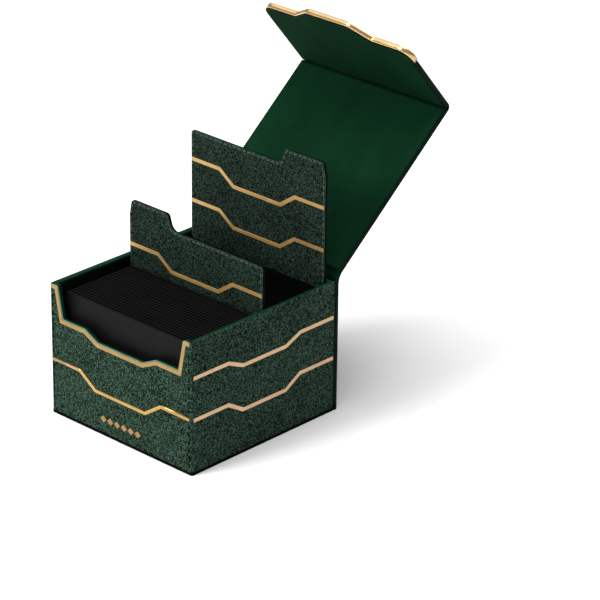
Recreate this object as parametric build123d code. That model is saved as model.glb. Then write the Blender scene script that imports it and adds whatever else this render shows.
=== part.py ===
from build123d import *
import math
import os

# Flip-top card deck box, in millimetres. X runs left to right, Y front (-) to back (+), Z up,
# and the origin is the centre of the tray's underside. Every piece is built where it lies with
# the box shut and its dividers seated, and is then moved to the open pose it is stored in.

# Driving dimensions: a sleeved playing card standing on its long edge, and the room round it.
CARD_WIDTH = 91.0
CARD_HEIGHT = 66.0
PACK_PITCH = 2.32
PACK_THICKNESS = 2.2
FRONT_PACKS = 20
REAR_PACKS = 18
SIDE_ROOM = 2.5
HEADROOM = 4.0
INNER_DEPTH = 97.0

# Sheet stock: greyboard between woven cloth outside and suede lining inside.
CLOTH = 0.6
BOARD = 1.8
LINING = 0.6
WALL = CLOTH + BOARD + LINING

# How far cutting shapes reach past what they cut, and how near a point is to count as on a line
CLEAR = 5.0
TOUCH = 0.1

# The tray
WIDTH = CARD_WIDTH + 2 * (SIDE_ROOM + WALL)
DEPTH = INNER_DEPTH + 2 * WALL
HEIGHT = WALL + CARD_HEIGHT + HEADROOM
HALF_WIDTH = WIDTH / 2
FRONT = -DEPTH / 2
BACK = DEPTH / 2
CORNER_RADIUS = 1.2
BASE_INSET = 2.0

# The finger cut-out in the front wall: half-widths and heights, from the rim down.
CUT_RIM_X = 45.3
CUT_SHOULDER_X = 41.8
CUT_STEP_X = 25.5
CUT_FLOOR_X = 16.0
CUT_SHOULDER_Z = 55.1
CUT_FLOOR_Z = 50.5

# Gold trims on the tray
TRIM_WIDTH = 2.1
TRIM_PROUD = 0.25
TRIM_TO_CUT = 1.25
TRIM_TO_EDGE = 1.3
TRIM_TO_RIM = 1.35
BAND_PROUD = 0.9
BAND_CHAMFER = 0.3
FRONT_LOWER = {"ends": 31.1, "middle": 23.5, "outer": 29.4, "inner": 18.2}
SIDE_UPPER = {"ends": 53.5, "middle": 49.0, "outer": 25.8, "inner": 15.4}
SIDE_LOWER = {"ends": 30.5, "middle": 24.4, "outer": 25.8, "inner": 15.4}
ORNAMENT_COUNT = 6
ORNAMENT_PITCH = 5.0
ORNAMENT_SIZE = (4.4, 4.0)
ORNAMENT_Z = 9.4

# The cover: a back panel on the tray, a lid and a flap, with a soft fold at the back.
COVER_WIDTH = WIDTH + 0.5
COVER_HALF = COVER_WIDTH / 2
LID_GAP = 0.25
FLAP_GAP = 2.0
LID_TOP = HEIGHT + LID_GAP + WALL
FLAP_OUTER = FRONT - FLAP_GAP - WALL
BACK_OUTER = BACK + CLOTH + BOARD
EDGE_TURN = 0.6
LINING_INSET = 1.0

# The fold: cloth and lining glued together with no board, in two strips between three creases.
FOLD_HALF = CLOTH
FOLD_STRIP = 2.4
FOLD_CLEAR = 0.15
CREASE_SHUT = 30.0
BOARD_FROM_CREASE = 0.95
BOARD_FROM_CORNER = 2.6
FLAP_BOARD_DROP = 2.4

# The flap's lower edge and the gold bar along it
FLAP_CORNER = 7.5
FLAP_EDGE = {"ends": 23.5, "middle": 15.8, "outer": 26.7, "inner": 14.7}
BAR_HEIGHT = 4.0
BAR_PROUD = 0.8
BAR_END_Z = 32.6
BAR_BEND_X = 44.95

# Closure magnets, buried in the boards of the front wall and the flap
MAGNET_RADIUS = 5.0
MAGNET_THICKNESS = 1.2
MAGNET_X = 32.0
MAGNET_Z = 42.0

# Dividers: a thin board in a stitched cloth sleeve, with a tab at one end.
DIVIDER_CLEAR = 0.4
DIVIDER_WIDTH = WIDTH - 2 * WALL - 2 * DIVIDER_CLEAR
DIVIDER_BOARD = 1.0
DIVIDER_CLOTH = 0.45
DIVIDER_SLEEVE = 1.5
DIVIDER_FLOAT = 0.1
DIVIDER_TOP = 63.9
TAB_TOP = 72.4
TAB_END_X = 19.6
TAB_FOOT_X = 17.0
TAB_TAPER = (1.5, 8.0)
TAB_TAPER_RADIUS = 8.0
TAB_RADIUS = 1.8
TAB_END_RADIUS = 2.5
TAB_FOOT_RADIUS = 5.0
PLATE_RADIUS = 1.5
DIVIDER_TRIM_DROPS = {"upper": 15.8, "lower": 39.0}
DIVIDER_DIP = {"depth": 7.1, "outer": 26.8, "inner": 16.6}
DIVIDER_TRIM_PROUD = 0.2
DIVIDER_TRIM_TO_EDGE = 0.4
DIVIDER_THICKNESS = DIVIDER_BOARD + 2 * DIVIDER_CLOTH
DECK_SETBACK = 2.1
FRONT_DIVIDER_Y = 1.5
REAR_DIVIDER_Y = BACK - WALL - DIVIDER_CLEAR - DIVIDER_THICKNESS
FRONT_DECK_Y = FRONT + WALL + DECK_SETBACK
REAR_DECK_Y = FRONT_DIVIDER_Y + DIVIDER_THICKNESS + DIVIDER_CLEAR

# The open pose
LID_OPEN = 140.0
FRONT_DIVIDER_LIFT = 31.6
REAR_DIVIDER_LIFT = 65.8


def box(x, y, z):
    """A box from three (low, high) pairs."""
    middle = [(low + high) / 2 for low, high in (x, y, z)]
    return Pos(*middle) * Box(x[1] - x[0], y[1] - y[0], z[1] - z[0])


def polygon(points):
    return make_face(Polyline(*points, close=True))


def front_plate(face, y_front, y_back):
    """A face drawn in X and Z, made solid between two depths."""
    return extrude(Plane.XZ.offset(-y_back) * face, amount=y_back - y_front)


def side_plate(face, x_low, x_high):
    """A face drawn in Y and Z, made solid between two places across the width."""
    return extrude(Plane.YZ.offset(x_low) * face, amount=x_high - x_low)


def shifted(points, distance):
    """An open line moved to its left by a distance, with mitred corners."""
    normals = []
    for (x0, z0), (x1, z1) in zip(points, points[1:]):
        length = math.hypot(x1 - x0, z1 - z0)
        normals.append(((z0 - z1) / length, (x1 - x0) / length))
    moved = []
    for index, (x, z) in enumerate(points):
        before = normals[max(index - 1, 0)]
        after = normals[min(index, len(normals) - 1)]
        reach = distance / (1 + before[0] * after[0] + before[1] * after[1])
        moved.append((x + (before[0] + after[0]) * reach, z + (before[1] + after[1]) * reach))
    return moved


def ribbon(points, width):
    """A strip of even width along an open line."""
    return polygon(shifted(points, width / 2) + shifted(points, -width / 2)[::-1])


def stepped(half_span, shape):
    """A line that runs level, slopes to a level middle stretch and slopes back again."""
    right = [
        (shape["inner"], shape["middle"]),
        (shape["outer"], shape["ends"]),
        (half_span, shape["ends"]),
    ]
    return [(-x, z) for x, z in right[::-1]] + right


def cut_out(margin):
    """The finger cut-out's outline, grown by a margin and left open above the rim."""
    slope = (CUT_RIM_X - CUT_SHOULDER_X) / (HEIGHT - CUT_SHOULDER_Z)
    top = HEIGHT + CLEAR
    right = [
        (CUT_FLOOR_X, CUT_FLOOR_Z),
        (CUT_STEP_X, CUT_SHOULDER_Z),
        (CUT_SHOULDER_X, CUT_SHOULDER_Z),
        (CUT_SHOULDER_X + slope * (top - CUT_SHOULDER_Z), top),
    ]
    return shifted([(-x, z) for x, z in right[::-1]] + right, -margin)


def front_sheet(x_half, z_low, z_high, margin, y_front, y_back):
    """A sheet of the front wall with the finger cut-out taken from it."""
    sheet = box((-x_half, x_half), (y_front, y_back), (z_low, z_high))
    return sheet - front_plate(polygon(cut_out(margin)), y_front - CLEAR, y_back + CLEAR)


def tray():
    """The greyboard tray, its woven wrap and its lining."""
    cloth_x = HALF_WIDTH - CLOTH
    board_x = cloth_x - BOARD
    inner_x = board_x - LINING
    cloth_y = BACK - CLOTH
    board_y = cloth_y - BOARD
    inner_y = board_y - LINING
    board_z = CLOTH + BOARD
    top_z = HEIGHT - CLOTH
    base_x = HALF_WIDTH - BASE_INSET
    base_y = BACK - BASE_INSET

    outside = box((-HALF_WIDTH, HALF_WIDTH), (FRONT, BACK), (0, HEIGHT))
    outside = fillet(outside.edges().filter_by(Axis.Z), CORNER_RADIUS)
    shell = box((-cloth_x, cloth_x), (-cloth_y, cloth_y), (CLOTH, top_z))
    shell = fillet(shell.edges().filter_by(Axis.Z), CORNER_RADIUS - CLOTH)
    shell -= front_plate(polygon(cut_out(CLOTH)), FRONT - CLEAR, -inner_y + CLEAR)
    hollow = box((-inner_x, inner_x), (-inner_y, inner_y), (WALL, HEIGHT + CLEAR))
    window = box((-base_x, base_x), (-base_y, base_y), (-CLEAR, CLOTH))
    wrap = outside - front_plate(polygon(cut_out(0)), FRONT - CLEAR, -inner_y) - shell - hollow - window

    front_board = front_sheet(cloth_x, CLOTH, top_z, CLOTH, -cloth_y, -board_y)
    corners = front_board.edges().filter_by(Axis.Z).group_by(Axis.Y)[0]
    long_corners = [edge for edge in corners if abs(edge.center().X) > cloth_x - TOUCH]
    front_board = fillet(long_corners, CORNER_RADIUS - CLOTH)
    back_board = box((-cloth_x, cloth_x), (board_y, cloth_y), (CLOTH, top_z))
    back_board = fillet(back_board.edges().filter_by(Axis.Z).group_by(Axis.Y)[-1], CORNER_RADIUS - CLOTH)

    pieces = {
        "base_sheet": box((-base_x, base_x), (-base_y, base_y), (0, CLOTH)),
        "body_wrap": wrap,
        "base_board": box((-board_x, board_x), (-board_y, board_y), (CLOTH, board_z)),
        "front_board": front_board - magnets(-cloth_y),
        "back_board": back_board,
        "floor_lining": box((-board_x, board_x), (-board_y, board_y), (board_z, WALL)),
        "front_lining": front_sheet(inner_x, WALL, top_z, CLOTH, -board_y, -inner_y),
        "back_lining": box((-inner_x, inner_x), (inner_y, board_y), (WALL, top_z)),
        "front_magnets": magnets(-cloth_y),
    }
    for side, name in ((-1, "left"), (1, "right")):
        outer = sorted((side * board_x, side * cloth_x))
        inner = sorted((side * inner_x, side * board_x))
        pieces[name + "_board"] = box(outer, (-board_y, board_y), (CLOTH, top_z))
        pieces[name + "_lining"] = box(inner, (-board_y, board_y), (WALL, top_z))
    return pieces


def magnets(y_front):
    """The pair of disc magnets whose front faces lie at a depth."""
    discs = [
        Pos(x, y_front + MAGNET_THICKNESS / 2, MAGNET_Z)
        * Rot(90, 0, 0)
        * Cylinder(MAGNET_RADIUS, MAGNET_THICKNESS)
        for x in (-MAGNET_X, MAGNET_X)
    ]
    return Compound(children=discs)


def tray_trims():
    """The gold strips on the tray's front and sides, and the small ornament below them."""
    flat_front = (FRONT - TRIM_PROUD, FRONT)
    edge = cut_out(TRIM_TO_CUT)
    level = HEIGHT - TRIM_TO_RIM
    (x_top, z_top), (x_low, z_low) = edge[0], edge[1]
    x_level = x_low + (x_top - x_low) * (level - z_low) / (z_top - z_low)
    half_line = HALF_WIDTH - TRIM_TO_EDGE
    rim_line = [(-half_line, level), (x_level, level)] + edge[1:-1]
    rim_line += [(-x_level, level), (half_line, level)]

    lower = front_plate(ribbon(stepped(half_line, FRONT_LOWER), TRIM_WIDTH), FRONT - BAND_PROUD, FRONT)
    lower = chamfer(lower.faces().sort_by(Axis.Y)[0].edges(), BAND_CHAMFER)

    half_x, half_z = ORNAMENT_SIZE[0] / 2, ORNAMENT_SIZE[1] / 2
    first = -(ORNAMENT_COUNT - 1) / 2
    lozenges = []
    for index in range(ORNAMENT_COUNT):
        x = (first + index) * ORNAMENT_PITCH
        corners = [(x - half_x, ORNAMENT_Z), (x, ORNAMENT_Z - half_z)]
        corners += [(x + half_x, ORNAMENT_Z), (x, ORNAMENT_Z + half_z)]
        lozenges.append(front_plate(polygon(corners), *flat_front))

    pieces = {
        "front_upper_trim": front_plate(ribbon(rim_line, TRIM_WIDTH), *flat_front),
        "front_lower_trim": lower,
        "front_ornament": Compound(children=lozenges),
    }
    for side, name in ((-1, "left"), (1, "right")):
        depths = sorted((side * HALF_WIDTH, side * (HALF_WIDTH + TRIM_PROUD)))
        for height, shape in (("upper", SIDE_UPPER), ("lower", SIDE_LOWER)):
            line = stepped(BACK - TRIM_TO_EDGE, shape)
            pieces[f"{name}_{height}_trim"] = side_plate(ribbon(line, TRIM_WIDTH), *depths)
    return pieces


def creases():
    """Where the fold's three creases lie with the box shut, from the back panel to the lid."""
    top = LID_TOP - FOLD_HALF
    lean = [math.radians(CREASE_SHUT * step) for step in (1, 2)]
    rise = sum(math.cos(angle) for angle in lean) * FOLD_STRIP
    places = [(BACK_OUTER - FOLD_HALF, top - rise)]
    for angle in lean:
        y, z = places[-1]
        places.append((y - FOLD_STRIP * math.sin(angle), z + FOLD_STRIP * math.cos(angle)))
    return places


def flap_crease():
    return (FLAP_OUTER + FOLD_HALF, LID_TOP - FOLD_HALF)


def bead(place, radius):
    return Pos(place[0], place[1]) * Circle(radius)


def fold_strip(start, end):
    """A strip's section: round about its first crease, hollowed about its second."""
    y, z = start
    length = math.dist(start, end)
    angle = math.degrees(math.atan2(end[1] - z, end[0] - y))
    socket = FOLD_HALF + FOLD_CLEAR
    reach = length - math.sqrt(socket**2 - FOLD_HALF**2)
    plate = Pos(y, z) * Rot(0, 0, angle) * Pos(reach / 2, 0) * Rectangle(reach, 2 * FOLD_HALF)
    return plate + bead(start, FOLD_HALF) - bead(end, socket)


def fold_strips():
    lower, middle, upper = creases()
    return {
        "lower_fold_strip": side_plate(fold_strip(lower, middle), -COVER_HALF, COVER_HALF),
        "upper_fold_strip": side_plate(fold_strip(middle, upper), -COVER_HALF, COVER_HALF),
    }


def cover_back():
    """The cover's back panel, glued to the tray, up to the first crease of the fold."""
    y, z = creases()[0]
    board_top = z - BOARD_FROM_CREASE
    socket = FOLD_HALF + FOLD_CLEAR
    tongue_top = z - math.sqrt(socket**2 - FOLD_HALF**2)
    section = Pos((BACK + BACK_OUTER) / 2, board_top / 2) * Rectangle(BACK_OUTER - BACK, board_top)
    section += Pos(y, (board_top + tongue_top) / 2) * Rectangle(2 * FOLD_HALF, tongue_top - board_top)
    section -= bead((y, z), socket)
    board_x = COVER_HALF - EDGE_TURN
    board = box((-board_x, board_x), (BACK, BACK_OUTER - CLOTH), (EDGE_TURN, board_top))
    return {
        "cover_back_board": board,
        "cover_back_cloth": side_plate(section, -COVER_HALF, COVER_HALF) - board,
    }


def lid():
    """The lid panel between the fold and the flap, with the box shut."""
    rear_y, axis_z = creases()[2]
    front_y = flap_crease()[0]
    board_y = (front_y + BOARD_FROM_CORNER, rear_y - BOARD_FROM_CREASE)
    low_z = LID_TOP - WALL
    board_x = COVER_HALF - EDGE_TURN
    lining_x = COVER_HALF - LINING_INSET
    skin = Pos((front_y + rear_y) / 2, axis_z) * Rectangle(rear_y - front_y, 2 * FOLD_HALF)
    body = Pos(sum(board_y) / 2, LID_TOP - WALL / 2) * Rectangle(board_y[1] - board_y[0], WALL)
    section = skin + body + bead((rear_y, axis_z), FOLD_HALF) + bead((front_y, axis_z), FOLD_HALF)
    board = box((-board_x, board_x), board_y, (low_z + LINING, LID_TOP - CLOTH))
    lining_y = (board_y[0] + LINING_INSET, board_y[1] - LINING_INSET)
    lining = box((-lining_x, lining_x), lining_y, (low_z, low_z + LINING))
    return {
        "lid_cloth": side_plate(section, -COVER_HALF, COVER_HALF) - board - lining,
        "lid_board": board,
        "lid_lining": lining,
    }


def flap_outline(margin, top):
    """The flap's shape seen from the front, drawn in by a margin at its sides and lower edge."""
    half = COVER_HALF - margin
    edge = shifted(stepped(COVER_HALF, FLAP_EDGE), margin)
    middle = [(max(-half, min(half, x)), z) for x, z in edge]
    panel = polygon(middle + [(half, top), (-half, top)])
    corners = panel.vertices().group_by(Axis.Y)
    low_corners = [v for group in corners for v in group if abs(v.X) > half - TOUCH and v.Y < top - TOUCH]
    return fillet(low_corners, FLAP_CORNER - margin)


def flap():
    """The flap that hangs from the lid's front edge, with the box shut."""
    y, z = flap_crease()
    inner = FLAP_OUTER + WALL
    cloth_y = FLAP_OUTER + CLOTH
    board_top = z - FLAP_BOARD_DROP
    socket = FOLD_HALF + FOLD_CLEAR

    edge = shifted(stepped(COVER_HALF, FLAP_EDGE), BAR_HEIGHT)
    level = edge[0][1]
    far_x = COVER_HALF + CLEAR
    far_z = BAR_END_Z + CLEAR * (BAR_END_Z - level) / (COVER_HALF - BAR_BEND_X)
    upper_edge = [(-far_x, far_z), (-BAR_BEND_X, level)] + edge[1:-1] + [(BAR_BEND_X, level), (far_x, far_z)]
    above_edge = upper_edge + [(far_x, LID_TOP + CLEAR), (-far_x, LID_TOP + CLEAR)]
    above = front_plate(polygon(above_edge), FLAP_OUTER - CLEAR, inner + CLEAR)

    whole = front_plate(flap_outline(0, board_top), FLAP_OUTER, inner)
    bar = front_plate(flap_outline(0, board_top), FLAP_OUTER - BAR_PROUD, inner - LINING) - above
    board = front_plate(flap_outline(EDGE_TURN, board_top), cloth_y, inner - LINING) & above
    lining_top = board_top - LINING_INSET
    lining = front_plate(flap_outline(LINING_INSET, lining_top), inner - LINING, inner)
    tongue = box(
        (-COVER_HALF, COVER_HALF),
        (FLAP_OUTER, FLAP_OUTER + 2 * FOLD_HALF),
        (board_top, z - math.sqrt(socket**2 - FOLD_HALF**2)),
    )
    lid_room = Pos(y + CLEAR, z) * Rectangle(2 * CLEAR, 2 * socket)
    hinge_room = side_plate(bead((y, z), socket) + lid_room, -far_x, far_x)
    cloth = (whole & above) + tongue - hinge_room - board - lining
    hem = (whole - above) - lining - bar
    return {
        "flap_cloth": cloth + hem,
        "flap_board": board - magnets(inner - LINING - MAGNET_THICKNESS),
        "flap_lining": lining,
        "flap_magnets": magnets(inner - LINING - MAGNET_THICKNESS),
        "flap_edge_bar": bar,
    }


def divider_outline(tab_side):
    """A divider's shape seen from the front, with its tab to one side."""
    half = DIVIDER_WIDTH / 2
    low = WALL + DIVIDER_FLOAT
    corners = [
        (half, low, PLATE_RADIUS),
        (half, TAB_TOP - TAB_TAPER[1], TAB_TAPER_RADIUS),
        (half - TAB_TAPER[0], TAB_TOP, TAB_RADIUS),
        (TAB_END_X, TAB_TOP, TAB_END_RADIUS),
        (TAB_FOOT_X, DIVIDER_TOP, TAB_FOOT_RADIUS),
        (-half, DIVIDER_TOP, PLATE_RADIUS),
        (-half, low, PLATE_RADIUS),
    ]
    panel = polygon([(tab_side * x, z) for x, z, _ in corners])
    for x, z, radius in corners:
        corner = panel.vertices().sort_by_distance((tab_side * x, z, 0))[0]
        panel = fillet(corner, radius)
    return panel


def divider(name, y_front, tab_side):
    """A divider seated in the tray: its board, the two halves of its sleeve and its trims."""
    y_back = y_front + DIVIDER_THICKNESS
    y_middle = (y_front + y_back) / 2
    outline = divider_outline(tab_side)
    board = front_plate(offset(outline, -DIVIDER_SLEEVE), y_front + DIVIDER_CLOTH, y_back - DIVIDER_CLOTH)
    pieces = {
        f"{name}_divider_board": board,
        f"{name}_divider_front_cloth": front_plate(outline, y_front, y_middle) - board,
        f"{name}_divider_back_cloth": front_plate(outline, y_middle, y_back) - board,
    }
    for height, drop in DIVIDER_TRIM_DROPS.items():
        ends = DIVIDER_TOP - drop
        shape = dict(DIVIDER_DIP, ends=ends, middle=ends - DIVIDER_DIP["depth"])
        line = stepped(DIVIDER_WIDTH / 2 - DIVIDER_TRIM_TO_EDGE, shape)
        strip = front_plate(ribbon(line, TRIM_WIDTH), y_front - DIVIDER_TRIM_PROUD, y_front)
        pieces[f"{name}_divider_{height}_trim"] = strip
    return pieces


def deck(y_front, count):
    """A row of sleeved card packs standing on the floor lining."""
    packs = []
    for index in range(count):
        y = y_front + index * PACK_PITCH
        low = WALL + DIVIDER_FLOAT
        packs.append(
            box((-CARD_WIDTH / 2, CARD_WIDTH / 2), (y, y + PACK_THICKNESS), (low, low + CARD_HEIGHT))
        )
    return Compound(children=packs)


def turned(shape, place, degrees):
    """A shape swung open about the line along X through a crease."""
    y, z = place
    return Pos(0, y, z) * Rot(-degrees, 0, 0) * Pos(0, -y, -z) * shape


def opened(pieces, crease_count):
    """Pieces of the cover carried by the first few creases, each opened by a third."""
    each = LID_OPEN / 3
    moved = dict(pieces)
    for place in creases()[:crease_count][::-1]:
        moved = {name: turned(shape, place, each) for name, shape in moved.items()}
    return moved


def main():
    strips = fold_strips()
    parts = tray() | tray_trims() | cover_back()
    parts |= opened({"lower_fold_strip": strips["lower_fold_strip"]}, 1)
    parts |= opened({"upper_fold_strip": strips["upper_fold_strip"]}, 2)
    parts |= opened(lid() | flap(), 3)
    for name, y, side, lift in (
        ("front", FRONT_DIVIDER_Y, -1, FRONT_DIVIDER_LIFT),
        ("rear", REAR_DIVIDER_Y, 1, REAR_DIVIDER_LIFT),
    ):
        for node, shape in divider(name, y, side).items():
            parts[node] = Pos(0, 0, lift) * shape
    parts["front_deck"] = deck(FRONT_DECK_Y, FRONT_PACKS)
    parts["rear_deck"] = deck(REAR_DECK_Y, REAR_PACKS)

    os.makedirs("parts", exist_ok=True)
    for node, shape in parts.items():
        export_step(shape, f"parts/{node}.step")

    for count, place in enumerate(creases() + [flap_crease()]):
        marker = opened({"axis": Pos(0, *place) * Sphere(TOUCH)}, min(count, 3))["axis"]
        centre = marker.center()
        print(f"crease {count + 1} at rest: y {centre.Y:.4f} z {centre.Z:.4f}")


main()
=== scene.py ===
import math
import random

import bmesh
import bpy
from mathutils import Matrix, Vector


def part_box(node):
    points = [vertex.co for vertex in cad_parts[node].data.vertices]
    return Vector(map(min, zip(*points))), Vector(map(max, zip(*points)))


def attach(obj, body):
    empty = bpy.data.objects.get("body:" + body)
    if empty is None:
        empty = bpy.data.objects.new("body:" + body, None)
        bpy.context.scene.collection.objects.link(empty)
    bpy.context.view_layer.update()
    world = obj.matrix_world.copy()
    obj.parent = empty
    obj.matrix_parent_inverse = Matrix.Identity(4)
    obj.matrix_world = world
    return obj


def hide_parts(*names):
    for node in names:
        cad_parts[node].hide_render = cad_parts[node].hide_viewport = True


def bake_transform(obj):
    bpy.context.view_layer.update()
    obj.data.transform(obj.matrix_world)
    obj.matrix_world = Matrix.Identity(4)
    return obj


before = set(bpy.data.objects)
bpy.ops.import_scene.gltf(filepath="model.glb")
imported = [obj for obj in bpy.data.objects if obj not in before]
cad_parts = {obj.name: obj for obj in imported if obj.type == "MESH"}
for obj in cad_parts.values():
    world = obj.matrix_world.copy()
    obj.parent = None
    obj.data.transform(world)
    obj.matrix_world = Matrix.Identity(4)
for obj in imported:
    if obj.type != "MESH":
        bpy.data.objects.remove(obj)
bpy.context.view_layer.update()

# Lengths below are in millimetres, as in the drawings of the box, and become metres in the meshes.
MM = 0.001

# The tray, its rounded corners and the finger cut-out in its front wall, from the middle outwards
HALF_WIDTH = 51.0
FRONT = -51.5
BACK = 51.5
HEIGHT = 73.0
WALL = 3.0
CORNER_RADIUS = 1.2
CORNER_STEPS = 6
CUT_FLOOR = (16.0, 50.5)
CUT_STEP = (25.5, 55.1)
CUT_SHOULDER = (41.8, 55.1)
CUT_RIM_X = 45.3

# The raised gold strip and the piping on the tray's front, pale as a painted highlight, and the near-black
# foot round its base
TRIM_WIDTH = 2.1
TRIM_TO_EDGE = 1.3
TRIM_DOME = 0.75
FRONT_LOWER = {"ends": 31.1, "middle": 23.5, "outer": 29.4, "inner": 18.2}
PIPING_HALF = 0.25
PIPING_PROUD = 0.3
PIPING_DROP = 0.35
FOOT_PROUD = 0.12
FOOT_HEIGHT = 1.7

# The cover with the box shut: a back panel, a lid and a flap
COVER_HALF = 51.25
LID_TOP = 76.25
FLAP_OUTER = -56.5
BACK_OUTER = 53.9
LID_REAR_THICKNESS = 2.7

# The soft fold at the back: half its thickness, the length of a strip between creases, how far its
# ends run on past the creases, how much each strip leans with the box shut, and how far the lid opens
FOLD_HALF = 0.6
FOLD_STRIP = 2.4
FOLD_ENDS = 0.9
CREASE_SHUT = 30.0
LID_OPEN = 140.0

# The flap's bend, its lower edge with its corners, and the gold bar round that edge
FLAP_BEND = 2.95
FLAP_EDGE = {"ends": 23.5, "middle": 15.8, "outer": 26.7, "inner": 14.7}
FLAP_CORNER = 7.5
FLAP_RADII = [3.0, 7.0, 7.0, 3.0]
BAR_HEIGHT = 4.0
BAR_PROUD = 0.8
BAR_DEPTH = 3.2
BAR_WRAP = 0.15
BAR_END_Z = 32.6
BAR_TIP = 1.2

# Suede panels: their thickness, how far in from the cover's edges, and how far proud of the cloth
SKIN = 0.6
LINING_INSET = 1.0
LINING_PROUD = 0.1
LINING_TO_RIM = 0.9

# Stitches: distance in from the tray's and the cover's edges, and height against width
TRAY_SEAM = 1.9
COVER_SEAM = 2.0
STITCH_FLATNESS = 0.55
STITCH_END = 0.35

# The dividers, from their lower edge to the top of the tab at one end
DIVIDER_THICKNESS = 1.9
DIVIDER_HALF = 47.6
DIVIDER_LOW = 3.1
DIVIDER_TOP = 63.9
DIVIDER_SLEEVE = 0.45
DIVIDER_BOARD_INSET = 1.5
TAB_TOP = 72.4
TAB_END_X = 19.6
TAB_FOOT_X = 17.0
TAB_TAPER = (1.5, 8.0)

# The packs of cards
CARD_PITCH = 2.32
CARD_THICKNESS = 1.55
CARD_CORNER = 2.5
CARD_INSET = 0.3


# ---------------------------------------------------------------- outlines
def rounded(points, radii, closed=True, steps=6):
    """A path with its corners rounded: radii holds one radius for each point."""
    count = len(points)
    result = []
    for index, (point, radius) in enumerate(zip(points, radii)):
        at_end = not closed and index in (0, count - 1)
        if radius <= 0 or at_end:
            result.append(tuple(point))
            continue
        here = Vector(point)
        before = (Vector(points[index - 1]) - here).normalized()
        after = (Vector(points[(index + 1) % count]) - here).normalized()
        half = before.angle(after) / 2
        reach = radius / math.tan(half)
        centre = here + (before + after).normalized() * (radius / math.sin(half))
        start, end = here + before * reach - centre, here + after * reach - centre
        turn = math.atan2(start.x * end.y - start.y * end.x, start.dot(end))
        for step in range(steps + 1):
            angle = turn * step / steps
            result.append((
                centre.x + start.x * math.cos(angle) - start.y * math.sin(angle),
                centre.y + start.x * math.sin(angle) + start.y * math.cos(angle),
            ))
    return result


def left_normals(points, closed):
    """The mitred normal to the left of each point of a path."""
    count = len(points)
    normals = []
    for index in range(count):
        pairs = []
        if closed or index:
            pairs.append((points[index - 1], points[index]))
        if closed or index + 1 < count:
            pairs.append((points[index], points[(index + 1) % count]))
        edges = [Vector((a[1] - b[1], b[0] - a[0])).normalized() for a, b in pairs]
        if len(edges) == 1:
            normals.append(edges[0])
        else:
            normals.append((edges[0] + edges[1]) / (1 + edges[0].dot(edges[1])))
    return normals


def shifted(points, distance):
    """An open path moved to its left by a distance."""
    normals = left_normals(points, False)
    return [(x + n.x * distance, z + n.y * distance) for (x, z), n in zip(points, normals)]


def mirrored(right):
    """A path across the width, from the points of its right half, middle first."""
    return [(-x, z) for x, z in right[::-1]] + right


def stepped(half_span, shape):
    """A line that runs level, slopes to a level middle stretch and slopes back again."""
    middle, ends = shape["middle"], shape["ends"]
    return mirrored([(shape["inner"], middle), (shape["outer"], ends), (half_span, ends)])


# ---------------------------------------------------------------- meshes
class Builder:
    """Collects faces with their weave coordinates, and makes one object of them."""

    def __init__(self):
        self.mesh = bmesh.new()
        self.weave = self.mesh.loops.layers.uv.new("weave")
        # Per-vertex amount of pale edge colour: real wear and a painted highlight along rounded edges.
        self.wear_and_highlight = self.mesh.verts.layers.float.new("wear_and_highlight")

    def vert(self, place, wear_and_highlight=0.0):
        made = self.mesh.verts.new(Vector(place) * MM)
        made[self.wear_and_highlight] = wear_and_highlight
        return made

    def face(self, verts, coordinates, slot=0, smooth=True):
        made = self.mesh.faces.new(verts)
        made.material_index = slot
        made.smooth = smooth
        for loop, (u, v) in zip(made.loops, coordinates):
            loop[self.weave].uv = (u * 0.01, v * 0.01)

    def object(self, name, materials, matrix=None):
        merge = 0.0005 * MM
        bmesh.ops.remove_doubles(self.mesh, verts=self.mesh.verts, dist=merge)
        bmesh.ops.dissolve_degenerate(self.mesh, edges=self.mesh.edges, dist=merge)
        bmesh.ops.recalc_face_normals(self.mesh, faces=self.mesh.faces)
        data = bpy.data.meshes.new(name)
        self.mesh.to_mesh(data)
        self.mesh.free()
        if matrix:
            data.transform(matrix)
        for material in materials:
            data.materials.append(material)
        made = bpy.data.objects.new(name, data)
        bpy.context.collection.objects.link(made)
        return made


def edge_profile(thickness, outer_radius, inner_radius, steps=4):
    """Rings round a sheet's edge: (drawn in from the outline, depth from the outer face)."""
    rings = []
    for step in range(steps + 1):
        angle = math.pi / 2 * step / steps
        rings.append((outer_radius * (1 - math.sin(angle)), outer_radius * (1 - math.cos(angle))))
    for step in range(steps + 1):
        angle = math.pi / 2 * step / steps
        depth = thickness - inner_radius * (1 - math.sin(angle))
        rings.append((inner_radius * (1 - math.cos(angle)), depth))
    return rings


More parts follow.
